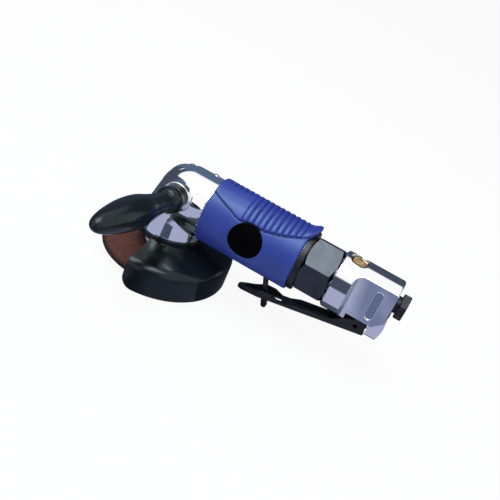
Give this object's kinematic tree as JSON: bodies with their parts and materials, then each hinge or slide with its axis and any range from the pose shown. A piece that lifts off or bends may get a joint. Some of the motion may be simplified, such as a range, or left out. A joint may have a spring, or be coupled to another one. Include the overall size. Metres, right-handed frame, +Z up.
{
  "type": "air angle grinder",
  "caption": "Hand-held air angle grinder with a bevel-geared head, depressed-centre wheel in a half guard, side handle, rubber grip sleeve and a throttle lever with a safety latch.",
  "frame": {"origin": "centre of the spindle's lower end, on the spindle's axis", "axes": "+X along the motor towards the air inlet, +Z up along the spindle towards the head, -Y towards the side handle"},
  "size_m": [0.2475, 0.1884, 0.098],
  "materials": {
    "chrome": "polished chrome plate",
    "chrome_housing": "chrome plate on aluminium",
    "blue_rubber": "satin moulded rubber",
    "handle_black": "glossy moulding",
    "guard_black": "gloss black paint",
    "badge_black": "plain black",
    "black_steel": "black oxide",
    "steel": "machined",
    "abrasive": "resin-bonded grit",
    "brass": "turned",
    "aluminium": "machined",
    "cast_iron": "ground",
    "black_rubber": "matte",
    "vane_resin": "laminated resin"
  },
  "bodies": {
    "tool": {"angle_head": "chrome", "grease_fitting": "steel", "neck_screw": "steel", "bearing_cap": "steel", "spindle_seal": "black_rubber", "handle_washer": "chrome", "handle_stud": "steel", "side_handle": "handle_black", "motor_housing": "aluminium", "front_plate": "cast_iron", "rear_plate": "cast_iron", "cylinder_liner": "cast_iron", "cylinder_pin": "steel", "gasket": "black_rubber", "grip_sleeve": "blue_rubber", "badge": "badge_black", "exhaust_ring": "black_steel", "coupling_nut": "black_steel", "throttle_housing": "chrome_housing", "valve_bush": "brass", "valve_spring": "steel", "valve_cap": "brass", "inlet_bushing": "black_steel", "inlet_screen": "brass", "lever_pin": "steel", "upper_bearing_outer": "steel", "upper_bearing_balls": "steel", "lower_bearing_outer": "steel", "lower_bearing_balls": "steel", "front_bearing_outer": "steel", "front_bearing_balls": "steel", "rear_bearing_outer": "steel", "rear_bearing_balls": "steel"},
    "spindle": {"spindle": "steel", "bevel_gear": "steel", "gear_key": "steel", "inner_flange": "steel", "grinding_wheel": "abrasive", "disc_nut": "steel", "upper_bearing_inner": "steel", "lower_bearing_inner": "steel"},
    "rotor": {"rotor": "steel", "vanes": "vane_resin", "pinion": "steel", "front_bearing_inner": "steel", "rear_bearing_inner": "steel"},
    "guard": {"guard": "guard_black", "guard_screw": "black_steel", "guard_nut": "black_steel"},
    "lever": {"throttle_lever": "black_steel", "latch_pin": "steel", "latch_spring": "steel"},
    "latch": {"safety_latch": "black_steel"},
    "valve": {"valve_stem": "brass"}
  },
  "joints": [
    {"name": "rotor_spin", "type": "hinge", "parent": "tool", "child": "rotor", "pos_m": [0.06, 0, 0.06502], "axis": [1, 0, 0], "continuous": true},
    {"name": "spindle_spin", "type": "hinge", "parent": "tool", "child": "spindle", "pos_m": [0, 0, 0], "axis": [0, 0, 1], "continuous": true},
    {"name": "guard_turn", "type": "hinge", "parent": "tool", "child": "guard", "pos_m": [0, 0, 0.031], "axis": [0, 0, 1], "range_deg": [-90, 90]},
    {"name": "lever_squeeze", "type": "hinge", "parent": "tool", "child": "lever", "pos_m": [0.1705, 0, 0.03923], "axis": [0, 1, 0], "range_deg": [0, 8], "stiffness_Nm_per_rad": 2.5, "springref_deg": -17.19},
    {"name": "latch_fold", "type": "hinge", "parent": "lever", "child": "latch", "pos_m": [0.09423, 0, 0.02187], "axis": [0, 1, 0], "range_deg": [-80, 0]},
    {"name": "valve_slide", "type": "slide", "parent": "tool", "child": "valve", "axis": [0, 0, 1], "range_m": [0, 0.0026], "deforming": ["valve_spring"]}
  ],
  "couplings": [
    {"joint": "spindle_spin", "follows": "rotor_spin", "ratio": 0.5},
    {"joint": "latch_fold", "follows": "lever_squeeze", "ratio": -10},
    {"joint": "valve_slide", "follows": "lever_squeeze", "m_per_rad": 0.0185}
  ]
}
